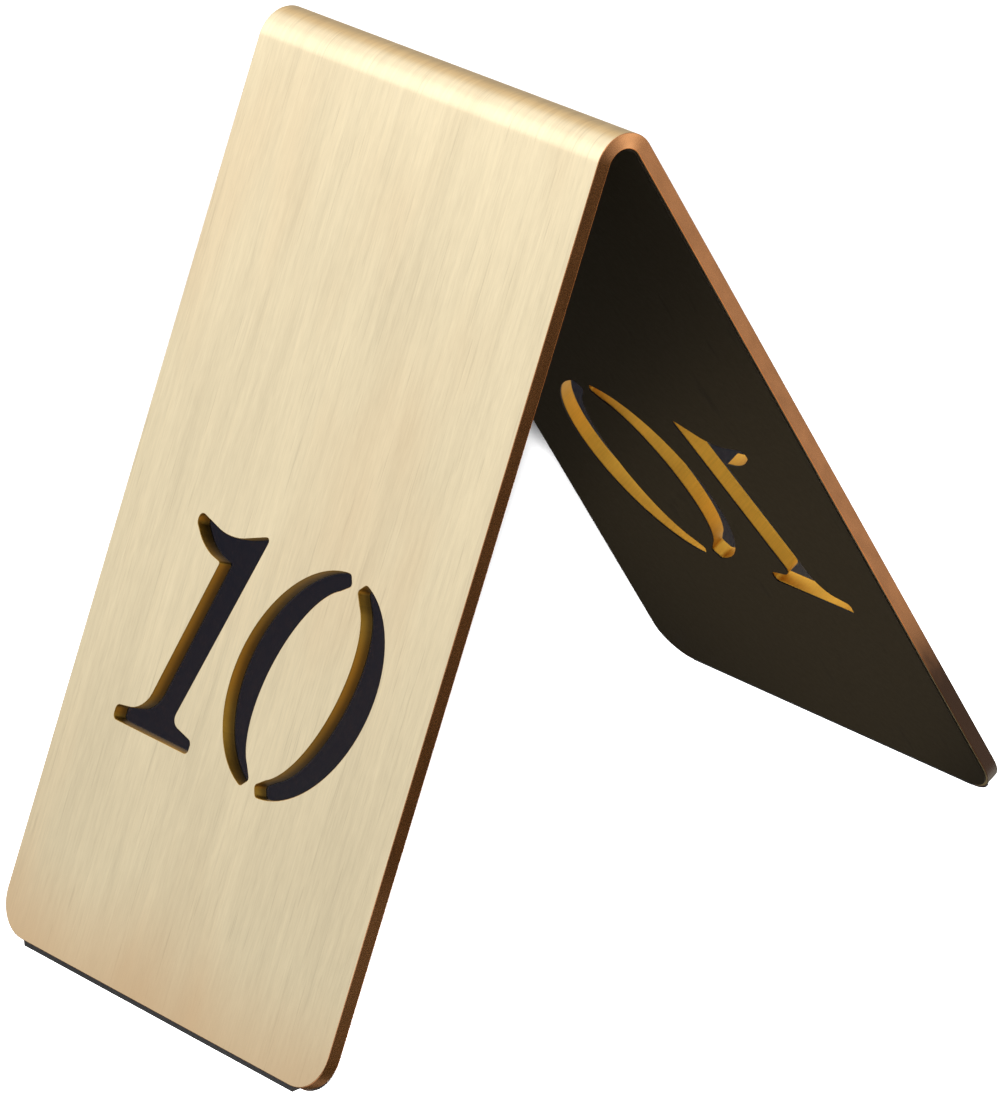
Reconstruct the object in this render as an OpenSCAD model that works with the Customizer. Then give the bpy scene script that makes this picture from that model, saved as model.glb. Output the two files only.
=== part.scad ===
// Table number holder: one brass strip folded into a free-standing tent, with the
// number cut through both legs, a dark film inside and an anti-slip bead under each foot.
// Origin: on the table, at the middle of the footprint. +X runs along the fold,
// +Y from the front leg to the rear leg, +Z up.

/* [Sheet] */
// Width of the brass strip, along the fold
sheet_w = 50; // [44:0.5:80]
// Thickness of the brass sheet
sheet_t = 1.5; // [1:0.1:2]
// Straight length of each leg, from the fold to the foot
leg_len = 90; // [70:1:120]
// Lean of each leg from the vertical
leg_lean = 26.75; // [20:0.25:32]
// Inside radius of the fold
fold_r = 2; // [1.5:0.1:3]
// Radius of the rounded corners at each foot
corner_r = 4; // [2:0.5:6]

/* [Number] */
// Height of the digits, from the foot of the 1 to its tip
digit_h = 22.4; // [18:0.1:24]
// Distance from the foot of a leg up to the foot of the digits
digit_base = 23.7; // [14:0.1:40]
// Sideways shift of the number from the middle of the leg
digit_shift = 0; // [-2:0.1:2]

/* [Inner film] */
// Thickness of the dark film on the inside faces
film_t = 0.15; // [0.1:0.05:0.3]
// Bare metal left around the film
film_margin = 0.3; // [0.2:0.1:2]

/* [Foot beads] */
// Thickness of each bead at its thin inner side
bead_t = 0.2; // [0.15:0.05:0.5]
// Width of each bead, from the inner edge of the cut end outwards
bead_w = 1.05; // [0.5:0.05:1.3]

/* [Hidden] */

$fn = 64;
brass = [0.89, 0.80, 0.62];
film_black = [0.12, 0.10, 0.08];
bead_grey = [0.16, 0.15, 0.15];

// The inner edge of a leg's cut end, measured from the origin.
foot_y = leg_len * sin(leg_lean) + fold_r * cos(leg_lean);
foot_z = bead_t;
// Height of the fold's centre line.
fold_z = foot_z + leg_len * cos(leg_lean) - fold_r * sin(leg_lean);
fold_sweep = 180 - 2 * leg_lean;
// The bead's outer side reaches up to the sloping cut end.
bead_rise = bead_w * tan(leg_lean);
bead_len = sheet_w - 2 * corner_r;
cut_slack = 1;

// The digits are drawn at this height, and scaled from it to digit_h.
drawn_h = 22.4;
fillet_steps = 4;

// Corner points of the slanted 1, each with the radius that rounds it: [x, height, radius].
ONE = [
    [-17.25, 0.0, 0.5],     // foot, left end
    [-5.60, 0.0, 0.5],      // foot, right end
    [-5.60, 1.27, 0.5],
    [-9.05, 2.10, 1.0],     // right bracket
    [-2.90, 22.40, 0.4],    // tip
    [-8.35, 20.55, 6.3],    // hollow on top of the flag
    [-13.55, 21.95, 0.6],   // flag, left end
    [-13.55, 20.80, 0.6],
    [-11.55, 18.75, 5.0],   // belly under the flag
    [-8.80, 18.20, 0.3],    // inside corner below the flag
    [-13.30, 1.95, 3.0],    // left bracket
    [-17.25, 1.38, 0.5]
];

// The 0 is two crescents round this centre: each lies between two slanted ovals.
ZERO_CENTRE = [7.2, 10.85];
OUTER_OVAL = [9.65, 11.55, 0.186];  // half width, half height, slant
INNER_OVAL = [5.10, 10.00, 0.248];
OVAL_STEPS = 22;
// Corners at the crescent's two ends on the inner side: [x, height, radius].
INNER_TOP = [2.50, 10.55, 0.35];
INNER_BOTTOM = [-3.50, -10.35, 0.35];
END_R = 0.4;

function oval_point(oval, a) = [
    oval[0] * cos(a) + oval[2] * oval[1] * sin(a),
    oval[1] * sin(a)
];

function oval_arc(oval, from, to) = [
    for (i = [0 : OVAL_STEPS])
        let (p = oval_point(oval, from + (to - from) * i / OVAL_STEPS))
        [p[0], p[1], i == 0 || i == OVAL_STEPS ? END_R : 0]
];

// The left crescent of the 0, from its top end round the outside and back up the inside.
CRESCENT = concat(
    oval_arc(OUTER_OVAL, 91, 256),
    [INNER_BOTTOM],
    [for (p = oval_arc(INNER_OVAL, 246, 104)) [p[0], p[1], 0]],
    [INNER_TOP]
);

function unit(v) = v / norm(v);

// The points that round one corner p between its neighbours a and b by radius r.
function fillet(a, p, b, r) =
    let (
        u = unit(a - p),
        v = unit(b - p),
        half = acos(u * v) / 2,
        reach = r / tan(half),
        centre = p + unit(u + v) * (r / sin(half)),
        start = p + u * reach - centre,
        finish = p + v * reach - centre,
        turn = 180 - 2 * half
    )
    [for (i = [0 : fillet_steps])
        let (t = i / fillet_steps)
        centre + (start * sin((1 - t) * turn) + finish * sin(t * turn)) / sin(turn)];

function xy(p) = [p[0], p[1]];

// A closed outline with each corner rounded by the radius given with its point.
function rounded(points) = [
    for (i = [0 : len(points) - 1])
        let (
            n = len(points),
            p = points[i],
            before = points[(i + n - 1) % n],
            after = points[(i + 1) % n]
        )
        each p[2] > 0 ? fillet(xy(before), xy(p), xy(after), p[2]) : [xy(p)]
];

module number_outline() {
    translate([digit_shift, digit_base])
        scale(digit_h / drawn_h) {
            polygon(rounded(ONE));
            translate(ZERO_CENTRE)
                for (turn = [0, 180])
                    rotate(turn) polygon(rounded(CRESCENT));
        }
}

// Flat outline of one leg, from its foot at height 0 up to the fold.
module leg_outline(margin = 0) {
    half_w = sheet_w / 2 - margin;
    r = corner_r - margin;
    difference() {
        translate([-half_w, margin]) square([2 * half_w, leg_len - margin]);
        for (side = [-1, 1])
            translate([side * (half_w - r), margin + r])
                difference() {
                    translate([side > 0 ? 0 : -2 * r, -2 * r]) square(2 * r);
                    circle(r);
                }
    }
}

// Stands a leg's flat outline up against the inside face of the front leg.
// Child height 0 is the inside face, and its thickness grows outwards.
module front_leg() {
    translate([0, -foot_y, foot_z])
        rotate([90 - leg_lean, 0, 0])
            children();
}

module both_legs() {
    for (turn = [0, 180])
        rotate([0, 0, turn]) front_leg() children();
}

// The rounded fold between two radii.
module fold(inner_r, outer_r, width) {
    translate([0, 0, fold_z])
        rotate([90, 0, 90])
            rotate([0, 0, leg_lean])
                rotate_extrude(angle = fold_sweep)
                    translate([inner_r, -width / 2])
                        square([outer_r - inner_r, width]);
}

module number_cutter() {
    both_legs()
        translate([0, 0, -cut_slack])
            linear_extrude(sheet_t + 2 * cut_slack)
                number_outline();
}

module folded_plate() {
    color(brass)
        difference() {
            union() {
                both_legs() linear_extrude(sheet_t) leg_outline();
                fold(fold_r, fold_r + sheet_t, sheet_w);
            }
            number_cutter();
        }
}

module inner_film() {
    color(film_black)
        difference() {
            union() {
                both_legs()
                    translate([0, 0, -film_t])
                        linear_extrude(film_t) leg_outline(film_margin);
                fold(fold_r - film_t, fold_r, sheet_w - 2 * film_margin);
            }
            number_cutter();
        }
}

// A wedge set back in the gap between a leg's sloping cut end and the table.
module foot_bead() {
    color(bead_grey)
        translate([-bead_len / 2, 0, 0])
            rotate([90, 0, 90])
                linear_extrude(bead_len)
                    polygon([
                        [-foot_y, 0],
                        [-foot_y, foot_z],
                        [-foot_y - bead_w, foot_z + bead_rise],
                        [-foot_y - bead_w, 0]
                    ]);
}

module front_foot_bead() {
    foot_bead();
}

module rear_foot_bead() {
    rotate([0, 0, 180]) foot_bead();
}

folded_plate();
inner_film();
front_foot_bead();
rear_foot_bead();
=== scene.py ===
"""Table number tent: a brass strip, cut with a number and folded, with its film, foot beads and stage.

Every piece is cut as a flat pattern and then folded, as the real strip is. In the flat pattern
X runs along the fold, Y along the strip from the front foot to the rear foot, with the crest of
the fold at 0, and Z is the height above the strip's inside face. Lengths are in metres.
"""

import math

import bmesh
import bpy
from bpy.props import FloatProperty, FloatVectorProperty, PointerProperty
from mathutils import Matrix, Vector


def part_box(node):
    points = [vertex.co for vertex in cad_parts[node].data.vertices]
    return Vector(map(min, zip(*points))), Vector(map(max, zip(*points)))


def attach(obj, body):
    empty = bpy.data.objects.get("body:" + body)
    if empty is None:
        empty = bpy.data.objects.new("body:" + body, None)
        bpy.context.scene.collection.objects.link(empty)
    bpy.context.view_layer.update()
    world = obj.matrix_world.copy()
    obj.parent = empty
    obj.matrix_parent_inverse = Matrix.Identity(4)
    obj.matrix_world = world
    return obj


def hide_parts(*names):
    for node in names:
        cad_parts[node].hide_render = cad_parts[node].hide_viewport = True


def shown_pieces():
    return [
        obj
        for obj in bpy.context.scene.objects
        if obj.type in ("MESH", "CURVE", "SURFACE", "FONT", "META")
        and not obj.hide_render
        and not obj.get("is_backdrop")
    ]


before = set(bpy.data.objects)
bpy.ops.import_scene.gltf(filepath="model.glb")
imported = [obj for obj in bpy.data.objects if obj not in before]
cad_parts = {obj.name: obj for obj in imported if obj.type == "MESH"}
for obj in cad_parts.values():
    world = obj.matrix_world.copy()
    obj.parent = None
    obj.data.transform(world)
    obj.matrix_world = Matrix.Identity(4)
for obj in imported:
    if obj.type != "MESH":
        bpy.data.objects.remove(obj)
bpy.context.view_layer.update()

bl_info = {
    "name": "Table Number Tent",
    "version": (1, 0, 0),
    "blender": (4, 5, 0),
    "location": "3D View > Sidebar > Number Tent",
    "description": "A folded brass tent with a number cut through it, its film, foot beads and stage",
    "category": "Add Mesh",
}

BODY = "root"
MM = 0.001
FLAT = "flat"               # the attribute that keeps each point's place in the flat pattern

# Corners of the slanted 1: [x, height, radius], in millimetres at a height of 22.4.
DRAWN_HEIGHT = 22.4
ONE = [
    (-17.25, 0.0, 0.5),     # foot, left end
    (-5.60, 0.0, 0.5),      # foot, right end
    (-5.60, 1.27, 0.5),
    (-9.05, 2.10, 1.0),     # right bracket
    (-2.90, 22.40, 0.4),    # tip
    (-8.35, 20.55, 6.3),    # hollow on top of the flag
    (-13.55, 21.95, 0.6),   # flag, left end
    (-13.55, 20.80, 0.6),
    (-11.55, 18.75, 5.0),   # belly under the flag
    (-8.80, 18.20, 0.3),    # inside corner below the flag
    (-13.30, 1.95, 3.0),    # left bracket
    (-17.25, 1.38, 0.5),
]

# The 0 is two crescents round this centre, each between two slanted ovals.
ZERO_CENTRE = (7.2, 10.85)
OUTER_OVAL = (9.65, 11.55, 0.186)   # half width, half height, slant
INNER_OVAL = (5.10, 10.00, 0.248)
OUTER_ARC = (91, 256)               # degrees, down the outside of the left crescent
INNER_ARC = (246, 104)              # and back up its inside
INNER_BOTTOM = (-3.50, -10.35)
INNER_TOP = (2.50, 10.55)
OUTER_CORNER = 0.40
INNER_CORNER = 0.35

OVAL_STEPS = 44
FILLET_STEPS = 6
FOLD_STEPS = 64
GRID = 5 * MM               # spacing of the cross lines that keep the flat faces even
FOLD_RELIEF = 0.3 * MM      # gap between the fold's last line and a leg's first
SNAP = 1e-7
LEVEL = 0.99                # upright part of a normal above which a face of the pattern is flat
SHARP = math.radians(20)    # edges turning more than this are shaded sharp
SHEAR_DRAFT = math.tan(math.radians(20))    # lean of the sheared edge's grain towards the outside

FACE, INSIDE, EDGE, CUT = range(4)  # material places on a sheet

# Tan for the faces' random patina, and for the shade painted towards each foot.
TAN_PATINA_AND_FOOT_SHADE = (0.78, 0.53, 0.30)
# Bright copper painted on the cut edge near the front foot as a highlight.
FRONT_FOOT_HIGHLIGHT_COPPER = (1.0, 0.50, 0.25)
# Near-black copper painted on the cut edge near the rear foot as shade.
REAR_FOOT_SHADE_COPPER = (0.035, 0.016, 0.009)
# Dark gold painted as shade on the front digits' walls.
WALL_SHADE_GOLD = (0.05, 0.03, 0.01)

FLOOR_REACH = 6
FLOOR_SHADE = (0.0135, 0.0135, 0.019)
SHADE_FADES = (0.13, 0.34)  # distances from the tent where the shade starts to fade and ends

# The studio's walls, for the metal to reflect: dark low down, pale higher up.
LOW_SIDES = (0.05, 0.042, 0.022)
HIGH_SIDES = (0.76, 0.76, 0.76)
SIDES_CHANGE = (-0.05, 0.34)    # upright parts of the directions between which they change

# Windows in the walls: azimuth and elevation of the middle, radius where it starts to fade and
# radius where it ends, all in degrees, and colour. Later ones cover the ones before.
WINDOWS = (
    ((-68, 38), 18, 52, (1.34, 1.31, 1.29)),    # broad, for the front face and the fold
    ((0, -42), 16, 40, (0.85, 0.80, 0.72)),     # low and pale, for the front face from above
    ((180, -52), 14, 38, (0.78, 0.73, 0.64)),   # and for the rear face
    ((-142, 14), 26, 47, (0.95, 0.72, 0.46)),   # golden band behind the fold
    ((-150, 8), 10, 38, (0.46, 0.39, 0.32)),    # dull, along the top of the fold
    ((128, -32), 10, 27, (1.15, 0.78, 0.40)),   # low and golden, for the digit walls
    ((160, -14), 8, 32, (0.56, 0.53, 0.48)),    # for the rear leg's cut edge
    ((135, 3), 8, 19, (1.42, 1.48, 1.42)),      # for the cut edge at the top of the fold
)

# Lights on the tent alone: name, target, azimuth and elevation in degrees, distance, size,
# power, colour.
CARDS = (
    ("front_card", (0, -0.01, 0.07), (-55, 35), 0.25, 0.15, 0.032, (1, 1, 1)),
    ("key", (0, 0, 0.03), (62, 47), 1.0, 0.35, 1.1, (1, 1, 1)),
    ("bounce_card", (0, 0.034, 0.012), (-60, -50), 0.05, 0.05, 0.0022, (1, 0.74, 0.40)),
)
FLOOR_LIGHT_RISE = 25       # elevation of the light on the floor, in degrees
FLOOR_LIGHT_SIZE = 0.03


# ---------------------------------------------------------------- sizes and finishes

class TentSizes(bpy.types.PropertyGroup):
    """Sizes of the strip and of what is fixed to it. The rest comes from the frame."""

    thickness: FloatProperty(
        name="Sheet thickness", description="Thickness of the brass strip",
        default=1.5 * MM, min=0.5 * MM, precision=5, unit="LENGTH")
    fold_radius: FloatProperty(
        name="Fold radius", description="Inside radius of the fold",
        default=2.0 * MM, min=0.5 * MM, precision=5, unit="LENGTH")
    corner_radius: FloatProperty(
        name="Corner radius", description="Radius of the rounded corners at each foot",
        default=4.0 * MM, min=1.0 * MM, precision=5, unit="LENGTH")
    digit_height: FloatProperty(
        name="Digit height", description="Height of the digits along the leg",
        default=22.4 * MM, min=10 * MM, precision=5, unit="LENGTH")
    digit_base: FloatProperty(
        name="Digit base", description="Distance from the foot of a leg up to the digits",
        default=23.7 * MM, min=10 * MM, precision=5, unit="LENGTH")
    rim: FloatProperty(
        name="Rim rounding", description="Radius that rounds the rims of the cut edges",
        default=0.06 * MM, min=0.02 * MM, precision=5, unit="LENGTH")
    film_thickness: FloatProperty(
        name="Film thickness", description="Thickness of the dark film on the inside",
        default=0.15 * MM, min=0.05 * MM, precision=5, unit="LENGTH")
    film_margin: FloatProperty(
        name="Film margin", description="Bare metal left round the film",
        default=0.3 * MM, min=0.1 * MM, precision=5, unit="LENGTH")
    film_rim: FloatProperty(
        name="Film rim", description="Radius that rounds the rims of the film",
        default=0.03 * MM, min=0.01 * MM, precision=5, unit="LENGTH")
    bead_rim: FloatProperty(
        name="Bead rim", description="Radius that rounds the edges of the foot beads",
        default=0.06 * MM, min=0.01 * MM, precision=5, unit="LENGTH")


class TentFinishes(bpy.types.PropertyGroup):
    """Colours of the tent's surfaces and the scale of its brushing."""

    brass: FloatVectorProperty(
        name="Brushed brass", description="Colour of the brushed faces",
        default=(0.83, 0.72, 0.49), size=3, min=0, max=1, subtype="COLOR")
    edge: FloatVectorProperty(
        name="Cut edge", description="Colour of the strip's cut edge",
        default=(0.62, 0.28, 0.12), size=3, min=0, max=1, subtype="COLOR")
    cut: FloatVectorProperty(
        name="Digit wall", description="Colour of the walls of the cut digits",
        default=(0.74, 0.42, 0.06), size=3, min=0, max=1, subtype="COLOR")
    # The film's near-black colour is painted shade for the tent's inside.
    film: FloatVectorProperty(
        name="Film", description="Colour of the dark film",
        default=(0.0060, 0.0042, 0.0026), size=3, min=0, max=1, subtype="COLOR")
    bead: FloatVectorProperty(
        name="Foot bead", description="Colour of the foot beads",
        # The beads' near-black colour is painted contact shadow under the feet.
        default=(0.02, 0.02, 0.022), size=3, min=0, max=1, subtype="COLOR")
    floor: FloatVectorProperty(
        name="Floor", description="Colour of the floor",
        default=(0.92, 0.92, 0.92), size=3, min=0, max=1, subtype="COLOR")
    line_width: FloatProperty(
        name="Brush line", description="Width of the finest brush lines",
        default=0.14 * MM, min=0.02 * MM, precision=5, unit="LENGTH")


class TentStage(bpy.types.PropertyGroup):
    """The viewpoint and the lights."""

    azimuth: FloatProperty(
        name="Azimuth", description="Bearing of the camera round the tent",
        default=math.radians(52.12), unit="ROTATION")
    elevation: FloatProperty(
        name="Elevation", description="Height of the camera above the horizon",
        default=math.radians(24.75), unit="ROTATION")
    roll: FloatProperty(
        name="Roll", description="Turn of the camera about its own axis",
        default=math.radians(-4.19), unit="ROTATION")
    distance: FloatProperty(
        name="Distance", description="Distance from the camera to its target",
        default=0.7075, unit="LENGTH")
    target: FloatVectorProperty(
        name="Target", description="Point in the middle of the view",
        default=(0.00262, 0, 0.03429), size=3, precision=5, subtype="TRANSLATION")
    lens: FloatProperty(
        name="Lens", description="Focal length of the camera on a 36 mm sensor",
        default=241.3, unit="CAMERA")
    floor_light: FloatProperty(
        name="Floor light", description="Power of the light on the floor", default=30.0, unit="POWER")


class Tent:
    """The folded strip's shape, from its own sizes and the boxes of the frame's nodes."""

    def __init__(self, sizes):
        low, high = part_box("folded_plate")
        _, bead_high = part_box("front_foot_bead")
        self.width = high.x - low.x
        self.thickness = sizes.thickness
        self.inner = sizes.fold_radius
        self.outer = sizes.fold_radius + sizes.thickness
        self.fold_height = high.z - self.outer
        self.foot_height = low.z
        self.foot_out = -bead_high.y
        rise = self.fold_height - self.foot_height
        self.leg = math.sqrt(self.foot_out ** 2 + rise ** 2 - self.inner ** 2)
        self.lean = math.atan2(self.foot_out, rise) - math.atan2(self.inner, self.leg)
        self.half_sweep = math.pi / 2 - self.lean
        self.half_arc = self.outer * self.half_sweep
        self.half_strip = self.half_arc + self.leg

    def folded(self, flat):
        """The place on the tent of a point of the flat pattern."""
        side = math.copysign(1, flat.y)
        along = abs(flat.y)
        radius = self.inner + flat.z
        angle = min(along / self.outer, self.half_sweep)
        straight = max(along - self.half_arc, 0)
        out = radius * math.sin(angle) + straight * math.sin(self.lean)
        up = radius * math.cos(angle) - straight * math.cos(self.lean)
        return Vector((flat.x, side * out, self.fold_height + up))


# ---------------------------------------------------------------- flat pattern

def round_corner(bm, vert, radius, steps):
    """Rounds the corner of a flat face."""
    one, other = (edge.other_vert(vert).co - vert.co for edge in vert.link_edges)
    reach = radius / math.tan(one.angle(other) / 2)
    bmesh.ops.bevel(
        bm, geom=[vert], offset=reach, offset_type="OFFSET", affect="VERTICES",
        segments=steps, profile=0.5, material=-1)


def draw_one(bm, placement):
    """Draws the slanted 1."""
    verts = [bm.verts.new(placement @ Vector((x, y, 0))) for x, y, _ in ONE]
    bm.faces.new(verts)
    for vert, (_, _, radius) in zip(verts, ONE):
        round_corner(bm, vert, radius * placement.median_scale, FILLET_STEPS)


def spin_oval(bm, placement, oval, arc):
    """Spins a chain of points along part of a slanted oval."""
    half_width, half_height, slant = oval
    start, end = (math.radians(angle) for angle in arc)
    stretch = Matrix((
        (half_width, slant * half_height, 0, 0),
        (0, half_height, 0, 0),
        (0, 0, 1, 0),
        (0, 0, 0, 1)))
    drawn = set(bm.verts)
    first = bm.verts.new((math.cos(start), math.sin(start), 0))
    bmesh.ops.spin(
        bm, geom=[first], cent=(0, 0, 0), axis=(0, 0, 1), angle=end - start, steps=OVAL_STEPS)
    chain = [vert for vert in bm.verts if vert not in drawn]
    bmesh.ops.transform(bm, matrix=placement @ stretch, verts=chain)
    return chain


def draw_crescent(bm, placement):
    """Draws the left crescent of the 0."""
    outside = spin_oval(bm, placement, OUTER_OVAL, OUTER_ARC)
    bottom = bm.verts.new(placement @ Vector((*INNER_BOTTOM, 0)))
    inside = spin_oval(bm, placement, INNER_OVAL, INNER_ARC)
    top = bm.verts.new(placement @ Vector((*INNER_TOP, 0)))
    bm.faces.new([*outside, bottom, *inside, top])
    for vert in (outside[0], outside[-1]):
        round_corner(bm, vert, OUTER_CORNER * placement.median_scale, FILLET_STEPS)
    for vert in (bottom, top):
        round_corner(bm, vert, INNER_CORNER * placement.median_scale, FILLET_STEPS)


def draw_number(bm, placement):
    """Draws the number with its baseline at the placement's origin."""
    draw_one(bm, placement)
    zero = placement @ Matrix.Translation((*ZERO_CENTRE, 0))
    for turn in (0, math.pi):
        draw_crescent(bm, zero @ Matrix.Rotation(turn, 4, "Z"))


def draw_blank(bm, half_width, half_length, corner_radius):
    """Draws the strip's outline with its four rounded corners."""
    grid = bmesh.ops.create_grid(bm, x_segments=1, y_segments=1, size=1)
    bmesh.ops.scale(bm, vec=(half_width, half_length, 1), verts=grid["verts"])
    for vert in grid["verts"]:
        round_corner(bm, vert, corner_radius, 2 * FILLET_STEPS)


def slice_across(bm, axis, places):
    """Adds lines across the whole pattern at these places along an axis."""
    normal = Vector((0, 0, 0))
    normal[axis] = 1
    for place in places:
        bmesh.ops.bisect_plane(
            bm, geom=bm.verts[:] + bm.edges[:] + bm.faces[:], dist=SNAP,
            plane_co=normal * place, plane_no=normal)


def round_rim(bm, faces, rim):
    """Rounds the rim of a flat region outwards in two steps, rising by the rim's radius."""
    near = rim * (1 - math.cos(math.pi / 4))
    far = rim * math.sin(math.pi / 4)
    for thickness, depth in ((near, far), (far, near)):
        bmesh.ops.inset_region(
            bm, faces=faces, use_boundary=True, use_even_offset=True,
            thickness=thickness, depth=depth)


def cut_sheet(tent, sizes, bottom, top, margin, rim):
    """The flat pattern of one layer, between two heights, with the number cut through it."""
    bm = bmesh.new()
    half_width = tent.width / 2 - margin
    half_length = tent.half_strip - margin
    draw_blank(bm, half_width, half_length, sizes.corner_radius - margin)
    scale = sizes.digit_height / DRAWN_HEIGHT
    baseline = Matrix.Translation((0, sizes.digit_base - tent.half_strip, 0))
    for turn in (0, math.pi):
        draw_number(bm, Matrix.Rotation(turn, 4, "Z") @ baseline @ Matrix.Scale(scale, 4))
    bmesh.ops.delete(bm, geom=bm.faces[:], context="FACES_ONLY")
    bmesh.ops.triangle_fill(
        bm, use_beauty=True, use_dissolve=False, edges=bm.edges[:], normal=(0, 0, 1))

    lower = bm.faces[:]
    raised = bmesh.ops.extrude_face_region(bm, geom=lower, use_keep_orig=True)["geom"]
    upper = [part for part in raised if isinstance(part, bmesh.types.BMFace)]
    lifted = [part for part in raised if isinstance(part, bmesh.types.BMVert)]
    bmesh.ops.translate(bm, vec=(0, 0, top - bottom - 2 * rim), verts=lifted)
    bmesh.ops.translate(bm, vec=(0, 0, bottom + rim), verts=bm.verts[:])
    bmesh.ops.recalc_face_normals(bm, faces=bm.faces[:])
    for region in (upper, lower):
        round_rim(bm, region, rim)
    return bm


def mark_finishes(bm, tent, sizes):
    """Gives each face of a flat pattern its place among the materials."""
    margin = sizes.corner_radius + sizes.film_margin
    for face in bm.faces:
        centre = face.calc_center_median()
        outer = abs(centre.x) > tent.width / 2 - margin or abs(centre.y) > tent.half_strip - margin
        if face.normal.z > LEVEL:
            face.material_index = FACE
        elif face.normal.z < -LEVEL:
            face.material_index = INSIDE
        else:
            face.material_index = EDGE if outer else CUT


def fold_sheet(bm, tent):
    """Adds the lines that the fold needs, keeps the flat places and folds the pattern."""
    fold_lines = [tent.half_arc * (2 * i / FOLD_STEPS - 1) for i in range(FOLD_STEPS + 1)]
    first_line = tent.half_arc + FOLD_RELIEF
    leg_lines = [
        side * (first_line + GRID * i)
        for side in (-1, 1)
        for i in range(int((tent.leg - FOLD_RELIEF) / GRID))]
    slice_across(bm, 1, fold_lines + leg_lines)
    half_lines = int(tent.width / 2 / GRID)
    slice_across(bm, 0, [GRID * i for i in range(1 - half_lines, half_lines)])
    flat = bm.verts.layers.float_vector.new(FLAT)
    for vert in bm.verts:
        vert[flat] = vert.co
        vert.co = tent.folded(vert.co)
    bm.normal_update()


def finish_piece(bm, name, materials):
    """Turns a bmesh into a piece that stands for the frame's node of the same name."""
    for face in bm.faces:
        face.smooth = True
    for edge in bm.edges:
        edge.smooth = edge.calc_face_angle(math.pi) < SHARP
    mesh = bpy.data.meshes.new(name)
    bm.to_mesh(mesh)
    bm.free()
    for material in materials:
        mesh.materials.append(material)
    piece = bpy.data.objects.new(name + "_looks", mesh)
    bpy.context.scene.collection.objects.link(piece)
    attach(piece, BODY)
    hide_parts(name)
    return piece


def comb_reflections(mesh):
    """Holds the direction of stretched reflections along X over the whole mesh.

    The shader turns its stretch about the texture space's centre, so a centre very far along
    Y makes the direction the same everywhere.
    """
    mesh.use_auto_texspace = False
    mesh.texspace_size = (1, 1, 1)
    mesh.texspace_location = (0, 1000, 0)


# ---------------------------------------------------------------- shader toolkit

class Socket:
    """An output socket that takes part in Python arithmetic: each operation adds a Math node."""

    def __init__(self, sheet, output):
        self.sheet = sheet
        self.output = output

    def math(self, operation, *others):
        """Adds one Math node that works on this socket and the others."""
        values = dict(enumerate((self, *others)))
        return self.sheet.node("ShaderNodeMath", {"operation": operation}, values)

    def __add__(self, other):
        return self.math("ADD", other)

    __radd__ = __add__

    def __sub__(self, other):
        return self.math("SUBTRACT", other)

    def __rsub__(self, other):
        return self.math("MULTIPLY", -1).math("ADD", other)

    def __mul__(self, other):
        return self.math("MULTIPLY", other)

    __rmul__ = __mul__


class NodeSheet:
    """A node tree that nodes are added to, for a material or the world."""

    def __init__(self, owner):
        owner.use_nodes = True
        self.owner = owner
        self.tree = owner.node_tree
        self.tree.nodes.clear()

    def node(self, kind, settings=None, values=None, output=0):
        """Adds a node: first its settings, then its sockets' values or links.

        Gives the output with this number or name, or nothing for a node without outputs.
        """
        node = self.tree.nodes.new(kind)
        for name, value in (settings or {}).items():
            setattr(node, name, value)
        for key, value in (values or {}).items():
            if isinstance(value, Socket):
                self.tree.links.new(value.output, node.inputs[key])
            else:
                node.inputs[key].default_value = value
        return None if output is None else Socket(self, node.outputs[output])

    def end(self, kind, shader):
        """Links the last shader to the tree's output."""
        self.node(kind, None, {"Surface": shader}, output=None)

    def surface(self, values):
        """Ends a material with a principled shader of these values, and gives the material."""
        self.end("ShaderNodeOutputMaterial", self.node("ShaderNodeBsdfPrincipled", None, values))
        return self.owner

    def noise(self, place, density, seed=0.0, detail=2.0, roughness=0.5):
        """Noise from -0.5 to 0.5, with this many cells to the metre along each axis."""
        cells = self.node(
            "ShaderNodeVectorMath", {"operation": "MULTIPLY_ADD"},
            {0: place, 1: density, 2: (0, 0, seed)})
        return self.node(
            "ShaderNodeTexNoise", None,
            {"Vector": cells, "Scale": 1.0, "Detail": detail, "Roughness": roughness}) - 0.5

    def streaks(self, place, width, length, seed, detail=2.0):
        """Lines drawn out along the strip, about this wide and this long."""
        return self.noise(place, (1 / width, 1 / length, 0), seed, detail)

    def ramp(self, value, low, high, start=0.0, end=1.0):
        """A value taken smoothly from one range to another, and held at its ends."""
        return self.node(
            "ShaderNodeMapRange", {"interpolation_type": "SMOOTHSTEP"},
            {"Value": value, "From Min": low, "From Max": high, "To Min": start, "To Max": end})

    def mix(self, factor, one, other):
        """Mixes two colours."""
        return self.node(
            "ShaderNodeMix", {"data_type": "RGBA"}, {0: factor, 6: one, 7: other}, output=2)

    def bump(self, height, distance, strength=1.0):
        """A bumped normal."""
        return self.node(
            "ShaderNodeBump", None,
            {"Height": height, "Distance": distance, "Strength": strength}, output="Normal")

    def part(self, vector, axis):
        """One part of a vector."""
        return self.node("ShaderNodeSeparateXYZ", None, {0: vector}, output=axis)

    def flat_place(self):
        """The place on the flat pattern, in metres."""
        return self.node("ShaderNodeAttribute", {"attribute_name": FLAT}, output="Vector")

    def object_place(self):
        """The place in the tent's own frame, in metres."""
        return self.node("ShaderNodeTexCoord", output="Object")


def rgba(colour, factor=1.0):
    """A colour with its alpha."""
    return (*(channel * factor for channel in colour), 1.0)


def new_material(name):
    """A new material's node sheet."""
    return NodeSheet(bpy.data.materials.new(name))


# ---------------------------------------------------------------- materials

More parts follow.
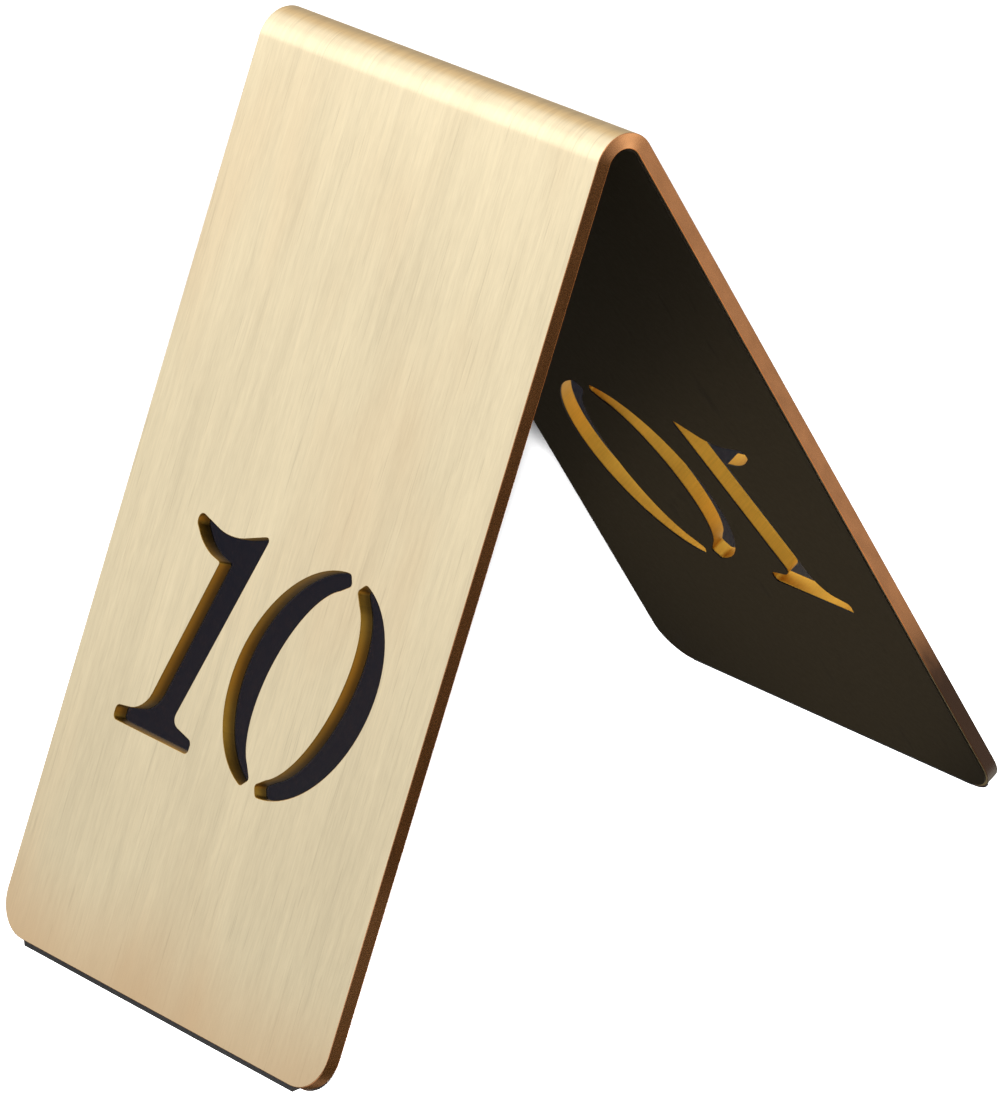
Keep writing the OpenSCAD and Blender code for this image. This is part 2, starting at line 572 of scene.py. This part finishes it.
def brushed_face(finishes):
    """Brass brushed along the strip: fine lines, dashes, wider bands, a trace of patina, and painted
    shade that makes the faces darker and warmer towards each foot.
    """
    sheet = new_material("brushed_face")
    place = sheet.flat_place()
    line = finishes.line_width
    fine = sheet.streaks(place, line, 9 * MM, seed=1.3)
    dash = sheet.streaks(place, 1.5 * line, 1.8 * MM, seed=11.2)
    medium = sheet.streaks(place, 4 * line, 10 * MM, seed=5.7)
    soft = sheet.streaks(place, 9 * line, 16 * MM, seed=17.9)
    broad = sheet.streaks(place, 4 * MM, 30 * MM, seed=9.1)
    cloud = sheet.noise(place, (60, 25, 0), seed=3.3, detail=3.0)
    scratch = sheet.ramp(
        sheet.streaks(place, 1.6 * line, 9 * MM, seed=14.5, detail=1.0), 0.17, 0.24)
    lines = 0.6 * fine + 0.6 * dash + 1.1 * medium
    tone = 0.5 + lines + 0.9 * soft + 0.8 * broad - 0.4 * scratch
    colour = sheet.mix(tone, rgba(finishes.brass, 0.86), rgba(finishes.brass, 1.14))
    along = sheet.part(place, "Y").math("ABSOLUTE")
    # Random patina clouds, plus painted shade: a darker, warmer tan over the last stretch before each
    # foot.
    patina_and_foot_shade = (
        sheet.ramp(cloud, 0.0, 0.28, 0.0, 0.22)
        + sheet.ramp(along + 8 * MM * cloud, 82 * MM, 98 * MM, 0.0, 0.75))
    colour = sheet.mix(patina_and_foot_shade, colour, rgba(TAN_PATINA_AND_FOOT_SHADE))
    roughness = 0.33 + 0.10 * fine + 0.10 * medium + 0.10 * soft + 0.05 * cloud
    height = fine + dash + medium - 0.8 * scratch
    return sheet.surface({
        "Base Color": colour,
        "Metallic": 1.0,
        "Roughness": roughness,
        "Anisotropic": 0.75,
        "Normal": sheet.bump(height, 0.004 * MM),
    })


def bare_inside(finishes):
    """The strip's unbrushed inside face, seen only round the film."""
    sheet = new_material("bare_inside")
    place = sheet.flat_place()
    mottle = sheet.noise(place, (900, 900, 900), detail=3.0)
    return sheet.surface({
        "Base Color": sheet.mix(0.5 + mottle, rgba(finishes.brass, 0.5), rgba(finishes.brass, 0.8)),
        "Metallic": 1.0,
        "Roughness": 0.45 + 0.2 * mottle,
    })


def cut_edge(finishes):
    """The strip's sheared edge: coppery, with a painted highlight towards the front foot and painted
    shade towards the rear foot.
    """
    sheet = new_material("cut_edge")
    place = sheet.flat_place()
    sand = sheet.noise(place, (6000, 6000, 6000), detail=3.0, roughness=0.7)
    patch = sheet.noise(place, (350, 350, 900), seed=4.2)
    along = sheet.part(place, "Y")
    height = sheet.part(place, "Z")
    tone = 0.5 + 0.9 * sand + 1.2 * patch
    colour = sheet.mix(tone, rgba(finishes.edge, 0.80), rgba(finishes.edge, 1.20))
    # Painted highlight: the edge turns bright copper towards the front foot.
    painted_front_foot_highlight = sheet.ramp(along + 4 * MM * patch, -76 * MM, -70 * MM, 0.9, 0.0)
    colour = sheet.mix(painted_front_foot_highlight, colour, rgba(FRONT_FOOT_HIGHLIGHT_COPPER))
    # Painted shade: the edge turns almost black towards the rear foot.
    dull = sheet.ramp(along + 6 * MM * patch, 66 * MM, 78 * MM, 0.0, 0.94)
    return sheet.surface({
        "Base Color": sheet.mix(dull, colour, rgba(REAR_FOOT_SHADE_COPPER)),
        "Metallic": 1.0,
        "Roughness": 0.26 + 0.2 * sand,
        "Normal": sheet.bump(sand * (0.008 * MM) - height * SHEAR_DRAFT, 1.0),
    })


def digit_wall(finishes):
    """The digits' cut walls: old gold with fine lines, and painted shade that makes the front ones
    darker towards the inside.
    """
    sheet = new_material("digit_wall")
    place = sheet.flat_place()
    lines = sheet.noise(place, (5200, 5200, 250))
    heat = sheet.noise(place, (280, 280, 500), seed=2.6)
    tone = 0.5 + 0.9 * lines + 0.9 * heat
    colour = sheet.mix(tone, rgba(finishes.cut, 0.75), rgba(finishes.cut, 1.15))
    front = sheet.ramp(sheet.part(place, "Y"), -MM, MM, 1.0, 0.0)
    # Painted shade inside the front digits' holes, deepest towards the inside face.
    shade = front * sheet.ramp(sheet.part(place, "Z"), 0.2 * MM, 1.4 * MM, 0.90, 0.48)
    return sheet.surface({
        "Base Color": sheet.mix(shade, colour, rgba(WALL_SHADE_GOLD)),
        "Metallic": 1.0,
        "Roughness": 0.52 + 0.25 * lines,
        "Normal": sheet.bump(lines, 0.02 * MM),
    })


def dark_film(finishes):
    """A satin, near-black film with a faint orange-peel surface and a few scuffs; its near-black
    colour is painted shade on the tent's inside.
    """
    sheet = new_material("dark_film")
    place = sheet.flat_place()
    peel = sheet.noise(place, (1500, 1500, 1500))
    scuff = sheet.ramp(
        sheet.noise(place, (500, 120, 500), seed=7.7, detail=3.0), 0.12, 0.30)
    tone = 0.5 + peel + 0.4 * scuff
    return sheet.surface({
        "Base Color": sheet.mix(tone, rgba(finishes.film, 0.8), rgba(finishes.film, 1.3)),
        "Roughness": 0.42 + 0.10 * peel + 0.12 * scuff,
        "Specular IOR Level": 0.2,
        "Normal": sheet.bump(peel, 0.01 * MM),
    })


def bead_rubber(finishes):
    """Matt dark rubber with a fine grain; its near-black colour is painted contact shadow under the
    feet.
    """
    sheet = new_material("bead_rubber")
    grain = sheet.noise(sheet.object_place(), (4000, 4000, 4000), detail=3.0)
    return sheet.surface({
        "Base Color": sheet.mix(0.5 + grain, rgba(finishes.bead, 0.7), rgba(finishes.bead, 1.4)),
        "Roughness": 0.72 + 0.2 * grain,
        "Normal": sheet.bump(grain, 0.02 * MM),
    })


def floor_material(finishes):
    """A plain pale floor with a glow that softens the shadow away from the tent."""
    sheet = new_material("pale_floor")
    place = sheet.object_place()
    tooth = sheet.noise(place, (300, 300, 300))
    away = sheet.node("ShaderNodeVectorMath", {"operation": "LENGTH"}, {0: place}, output="Value")
    glow = sheet.mix(sheet.ramp(away, *SHADE_FADES), rgba(FLOOR_SHADE), rgba((1, 1, 1)))
    return sheet.surface({
        "Base Color": rgba(finishes.floor),
        "Roughness": 0.85 + 0.1 * tooth,
        "Specular IOR Level": 0.0,
        "Emission Color": glow,
        "Emission Strength": 1.0,
    })


# ---------------------------------------------------------------- operators: pieces

class NUMBERTENT_OT_folded_plate(bpy.types.Operator):
    """Cut the brass strip with its number and fold it"""
    bl_idname = "number_tent.folded_plate"
    bl_label = "Folded Plate"

    def execute(self, context):
        sizes = context.scene.tent_sizes
        finishes = context.scene.tent_finishes
        tent = Tent(sizes)
        bm = cut_sheet(tent, sizes, 0, tent.thickness, 0, sizes.rim)
        mark_finishes(bm, tent, sizes)
        fold_sheet(bm, tent)
        materials = [
            brushed_face(finishes), bare_inside(finishes), cut_edge(finishes), digit_wall(finishes)]
        piece = finish_piece(bm, "folded_plate", materials)
        comb_reflections(piece.data)
        return {"FINISHED"}


class NUMBERTENT_OT_inner_film(bpy.types.Operator):
    """Cut the dark film to the strip's pattern and lay it on the inside as painted shade"""
    bl_idname = "number_tent.inner_film"
    bl_label = "Inner Film"

    def execute(self, context):
        sizes = context.scene.tent_sizes
        tent = Tent(sizes)
        bm = cut_sheet(tent, sizes, -sizes.film_thickness, 0, sizes.film_margin, sizes.film_rim)
        fold_sheet(bm, tent)
        finish_piece(bm, "inner_film", [dark_film(context.scene.tent_finishes)])
        return {"FINISHED"}


class NUMBERTENT_OT_foot_beads(bpy.types.Operator):
    """Lay a dark bead under each foot, painted contact shadow in the gap under its outer edge"""
    bl_idname = "number_tent.foot_beads"
    bl_label = "Foot Beads"

    def execute(self, context):
        sizes = context.scene.tent_sizes
        tent = Tent(sizes)
        rubber = bead_rubber(context.scene.tent_finishes)
        for name, turn in (("front_foot_bead", 0), ("rear_foot_bead", math.pi)):
            low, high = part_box(name)
            bead_width = high.y - low.y
            bead_rise = bead_width * math.tan(tent.lean)
            bm = bmesh.new()
            wedge = [
                (low.x, -tent.foot_out, 0),
                (low.x, -tent.foot_out, tent.foot_height),
                (low.x, -tent.foot_out - bead_width, tent.foot_height + bead_rise),
                (low.x, -tent.foot_out - bead_width, 0)]
            end = bm.faces.new([bm.verts.new(point) for point in wedge])
            drawn = bmesh.ops.extrude_face_region(bm, geom=[end], use_keep_orig=True)["geom"]
            far = [part for part in drawn if isinstance(part, bmesh.types.BMVert)]
            bmesh.ops.translate(bm, vec=(high.x - low.x, 0, 0), verts=far)
            bmesh.ops.recalc_face_normals(bm, faces=bm.faces[:])
            bmesh.ops.bevel(
                bm, geom=bm.edges[:], offset=sizes.bead_rim, offset_type="OFFSET",
                affect="EDGES", segments=3, profile=0.5, material=-1)
            bmesh.ops.rotate(
                bm, cent=(0, 0, 0), matrix=Matrix.Rotation(turn, 3, "Z"), verts=bm.verts[:])
            finish_piece(bm, name, [rubber])
        return {"FINISHED"}


# ---------------------------------------------------------------- operators: stage

def bearing(azimuth, elevation):
    """The unit vector towards a bearing round the tent, in degrees: 0 is straight in front."""
    turn, rise = math.radians(azimuth), math.radians(elevation)
    return Vector((
        math.sin(turn) * math.cos(rise), -math.cos(turn) * math.cos(rise), math.sin(rise)))


def add_floor(finishes):
    """A large pale floor."""
    bm = bmesh.new()
    bmesh.ops.create_grid(bm, x_segments=2, y_segments=2, size=FLOOR_REACH)
    mesh = bpy.data.meshes.new("floor")
    bm.to_mesh(mesh)
    bm.free()
    mesh.materials.append(floor_material(finishes))
    floor = bpy.data.objects.new("floor", mesh)
    bpy.context.scene.collection.objects.link(floor)
    floor.visible_glossy = False
    floor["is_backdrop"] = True
    return floor


def add_camera(stage):
    """The camera, turned to its bearing and rolled a little."""
    back = bearing(math.degrees(stage.azimuth), math.degrees(stage.elevation))
    turn = back.to_track_quat("Z", "Y").to_matrix() @ Matrix.Rotation(stage.roll, 3, "Z")
    camera = bpy.data.objects.new("camera", bpy.data.cameras.new("camera"))
    camera.data.sensor_width = 36
    camera.data.lens = stage.lens
    camera.data.clip_start = 0.01
    camera.data.clip_end = 50
    camera.matrix_world = Matrix.LocRotScale(Vector(stage.target) + back * stage.distance, turn, None)
    bpy.context.scene.collection.objects.link(camera)
    bpy.context.scene.camera = camera


def gathered(name, members):
    """A collection of these objects, for a light to be linked to."""
    collection = bpy.data.collections.new(name)
    for member in members:
        collection.objects.link(member)
    return collection


def add_softbox(name, target, direction, distance, size, power, colour, lights, blocked_by):
    """A square area light that faces the target. It lights one collection and another blocks it."""
    light = bpy.data.lights.new(name, "AREA")
    light.shape = "SQUARE"
    light.size = size
    light.energy = power
    light.color = colour
    lamp = bpy.data.objects.new(name, light)
    turn = direction.to_track_quat("Z", "Y").to_matrix()
    lamp.matrix_world = Matrix.LocRotScale(Vector(target) + direction * distance, turn, None)
    lamp.visible_camera = False
    bpy.context.scene.collection.objects.link(lamp)
    lamp.light_linking.receiver_collection = lights
    lamp.light_linking.blocker_collection = blocked_by


def add_shadow_blank(tent, sizes):
    """A folded blank without the number, seen by nothing: its shadow falls on the floor alone."""
    bm = bmesh.new()
    to_floor = tent.foot_height / math.cos(tent.lean)
    draw_blank(bm, tent.width / 2, tent.half_strip + to_floor, sizes.corner_radius)
    fold_sheet(bm, tent)
    mesh = bpy.data.meshes.new("shadow_blank")
    bm.to_mesh(mesh)
    bm.free()
    blank = bpy.data.objects.new("shadow_blank", mesh)
    bpy.context.scene.collection.objects.link(blank)
    blank.visible_camera = False
    blank.visible_diffuse = False
    blank.visible_glossy = False
    blank.visible_transmission = False
    blank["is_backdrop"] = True
    return blank


def add_surroundings():
    """Soft studio walls for the metal to reflect: pale higher up, with windows of their own."""
    world = bpy.data.worlds.new("studio")
    bpy.context.scene.world = world
    world.cycles_visibility.diffuse = False
    world.cycles.sampling_method = "NONE"
    sheet = NodeSheet(world)
    direction = sheet.node("ShaderNodeTexCoord", output="Generated")
    rise = sheet.ramp(sheet.part(direction, "Z"), *SIDES_CHANGE)
    colour = sheet.mix(rise, rgba(LOW_SIDES), rgba(HIGH_SIDES))
    for middle, inner, outer, glow in WINDOWS:
        facing = sheet.node(
            "ShaderNodeVectorMath", {"operation": "DOT_PRODUCT"},
            {0: direction, 1: bearing(*middle)}, output="Value")
        mask = sheet.ramp(facing, math.cos(math.radians(outer)), math.cos(math.radians(inner)))
        colour = sheet.mix(mask, colour, rgba(glow))
    background = sheet.node("ShaderNodeBackground", None, {"Color": colour, "Strength": 1.0})
    sheet.end("ShaderNodeOutputWorld", background)


class NUMBERTENT_OT_stage(bpy.types.Operator):
    """Set the floor, the surroundings, the lights and the camera"""
    bl_idname = "number_tent.stage"
    bl_label = "Stage"

    def execute(self, context):
        stage = context.scene.tent_stage
        sizes = context.scene.tent_sizes
        context.scene.view_settings.view_transform = "Standard"
        tent_only = gathered("tent_only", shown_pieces())
        floor_only = gathered("floor_only", [add_floor(context.scene.tent_finishes)])
        blank_only = gathered("blank_only", [add_shadow_blank(Tent(sizes), sizes)])
        add_camera(stage)
        add_surroundings()
        add_softbox(
            "floor_light", stage.target, bearing(math.degrees(stage.azimuth), FLOOR_LIGHT_RISE),
            stage.distance, FLOOR_LIGHT_SIZE, stage.floor_light, (1, 1, 1), floor_only, blank_only)
        for name, target, towards, distance, size, power, colour in CARDS:
            add_softbox(
                name, target, bearing(*towards), distance, size, power, colour,
                lights=tent_only, blocked_by=tent_only)
        return {"FINISHED"}


# ---------------------------------------------------------------- panel and registration

STEPS = (
    NUMBERTENT_OT_folded_plate,
    NUMBERTENT_OT_inner_film,
    NUMBERTENT_OT_foot_beads,
    NUMBERTENT_OT_stage,
)


class NUMBERTENT_PT_panel(bpy.types.Panel):
    """Lists the tent's sizes, finishes and steps"""
    bl_idname = "NUMBERTENT_PT_panel"
    bl_label = "Number Tent"
    bl_space_type = "VIEW_3D"
    bl_region_type = "UI"
    bl_category = "Number Tent"

    def draw(self, context):
        for group in (context.scene.tent_sizes, context.scene.tent_finishes, context.scene.tent_stage):
            column = self.layout.column(align=True)
            for name in group.__annotations__:
                column.prop(group, name)
        for step in STEPS:
            self.layout.operator(step.bl_idname)


GROUPS = {"tent_sizes": TentSizes, "tent_finishes": TentFinishes, "tent_stage": TentStage}


def register():
    for group in GROUPS.values():
        bpy.utils.register_class(group)
    for name, group in GROUPS.items():
        setattr(bpy.types.Scene, name, PointerProperty(type=group))
    for step in STEPS:
        bpy.utils.register_class(step)
    bpy.utils.register_class(NUMBERTENT_PT_panel)


def unregister():
    bpy.utils.unregister_class(NUMBERTENT_PT_panel)
    for step in reversed(STEPS):
        bpy.utils.unregister_class(step)
    for name in GROUPS:
        delattr(bpy.types.Scene, name)
    for group in reversed(GROUPS.values()):
        bpy.utils.unregister_class(group)


def main():
    register()
    bpy.ops.number_tent.folded_plate()
    bpy.ops.number_tent.inner_film()
    bpy.ops.number_tent.foot_beads()
    bpy.ops.number_tent.stage()


if __name__ == "__main__":
    main()
